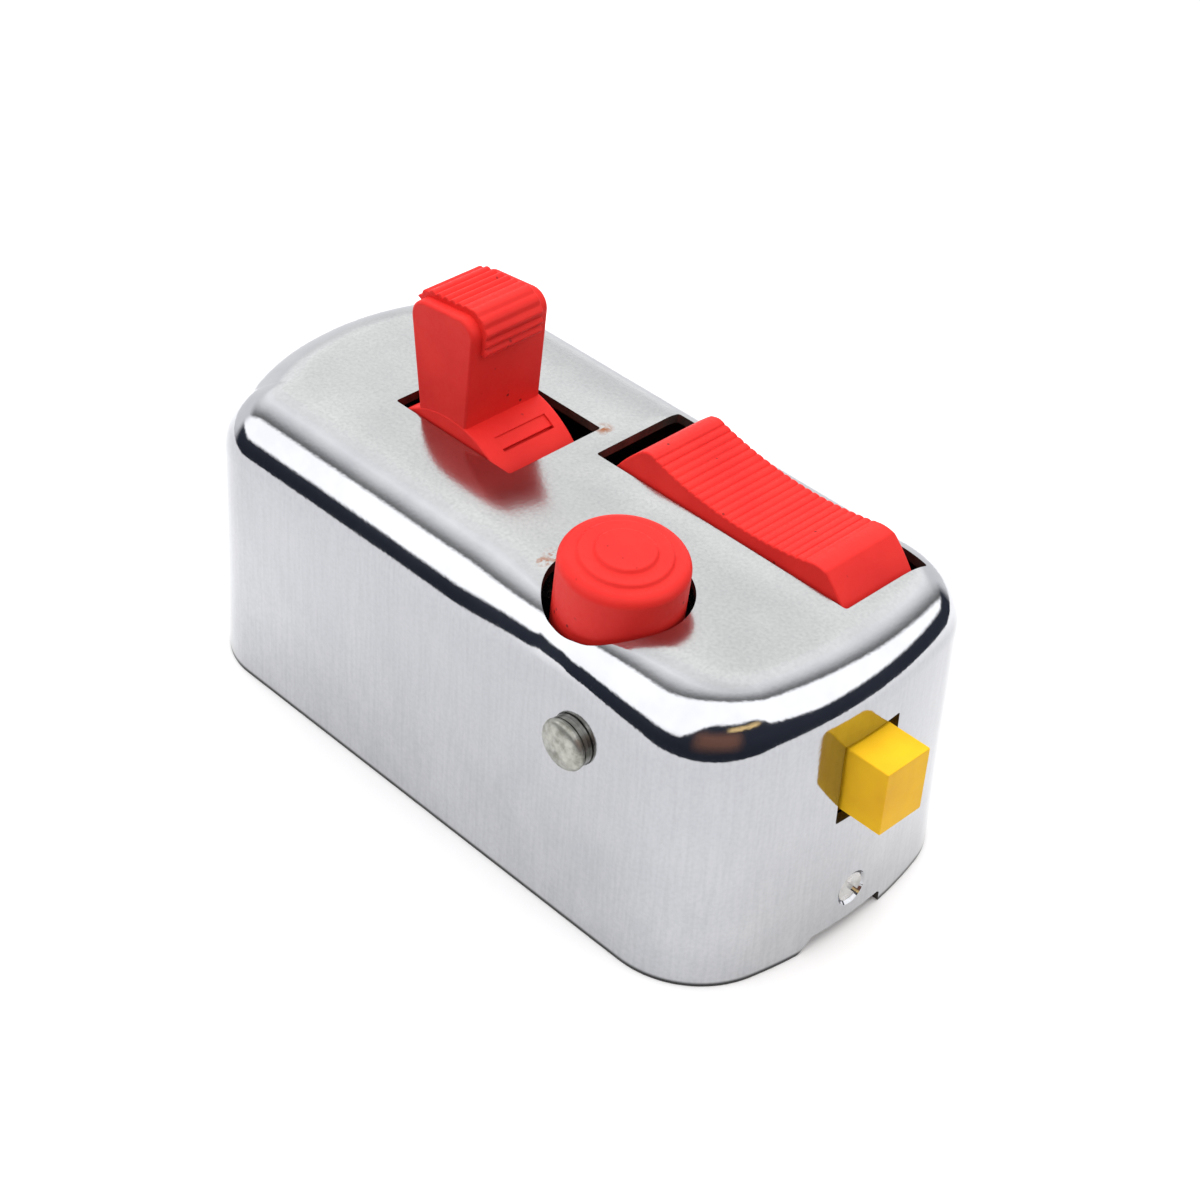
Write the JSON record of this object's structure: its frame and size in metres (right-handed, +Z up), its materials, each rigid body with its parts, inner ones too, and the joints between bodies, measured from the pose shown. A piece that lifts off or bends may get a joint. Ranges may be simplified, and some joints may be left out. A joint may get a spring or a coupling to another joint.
{
  "type": "handlebar control switch",
  "caption": "Small chromed handlebar switch housing with a tilting red lever, a ribbed red rocker, a round red push button and a yellow push key in one end.",
  "frame": {"origin": "midway between the two threaded fixing bushes, on the mounting face under the cover's rim", "axes": "+Z up out of the mounting face, +X along the switch towards the push key, +Y towards the side with the rocker"},
  "size_m": [0.0693, 0.0334, 0.0391],
  "materials": {
    "chrome_plate": "bright decorative plating on pressed steel, lightly wavy",
    "zinc_steel": "zinc plated",
    "dull_steel": "dulled rivet steel",
    "spring_steel": "bright drawn wire",
    "brass": "plain",
    "red_plastic": "moulded, satin gloss",
    "yellow_plastic": "moulded, satin gloss",
    "dark_moulding": "phenolic moulding"
  },
  "bodies": {
    "housing": {"cover": "chrome_plate", "cover_screws": "zinc_steel", "cover_screw_nuts": "brass", "side_rivet": "dull_steel", "contact_base": "dark_moulding", "fixing_bushes": "brass", "lever_pin": "zinc_steel", "lever_bracket_left": "zinc_steel", "lever_bracket_right": "zinc_steel", "lever_fixed_contacts": "brass", "terminal_screws": "brass", "rocker_pin": "zinc_steel", "rocker_bracket_left": "zinc_steel", "rocker_bracket_right": "zinc_steel", "rocker_fixed_contacts": "brass", "bracket_screws": "zinc_steel", "horn_return_spring": "spring_steel", "horn_guide": "dark_moulding", "horn_feed_strip": "brass", "horn_earth_strip": "brass", "key_return_spring": "spring_steel", "key_guide": "dark_moulding", "key_fixed_strips": "brass"},
    "lever": {"light_lever": "red_plastic", "lever_contact_plunger": "brass", "lever_plunger_spring": "spring_steel"},
    "rocker_arm": {"rocker": "red_plastic", "rocker_contact_plunger": "brass", "rocker_plunger_spring": "spring_steel"},
    "horn": {"horn_button": "red_plastic", "horn_contact_disc": "brass", "horn_stem_clip": "spring_steel"},
    "key": {"stop_key": "yellow_plastic", "key_contact_bar": "brass"}
  },
  "joints": [
    {"name": "lever_tilt", "type": "hinge", "parent": "housing", "child": "lever", "pos_m": [-0.0096, -0.00065, 0.0199], "axis": [0, 1, 0], "range_deg": [-16, 16]},
    {"name": "rocker_tilt", "type": "hinge", "parent": "housing", "child": "rocker_arm", "pos_m": [0.0143, 0.0065, 0.018], "axis": [0, -1, 0], "range_deg": [-4, 10]},
    {"name": "horn_press", "type": "slide", "parent": "housing", "child": "horn", "axis": [0, 0, -1], "range_m": [0, 0.0022], "stiffness_N_per_m": 400, "springref_m": -0.003, "deforming": ["horn_return_spring"]},
    {"name": "key_press", "type": "slide", "parent": "housing", "child": "key", "axis": [-1, 0, 0], "range_m": [0, 0.0022], "stiffness_N_per_m": 400, "springref_m": -0.003, "deforming": ["key_return_spring"]}
  ]
}
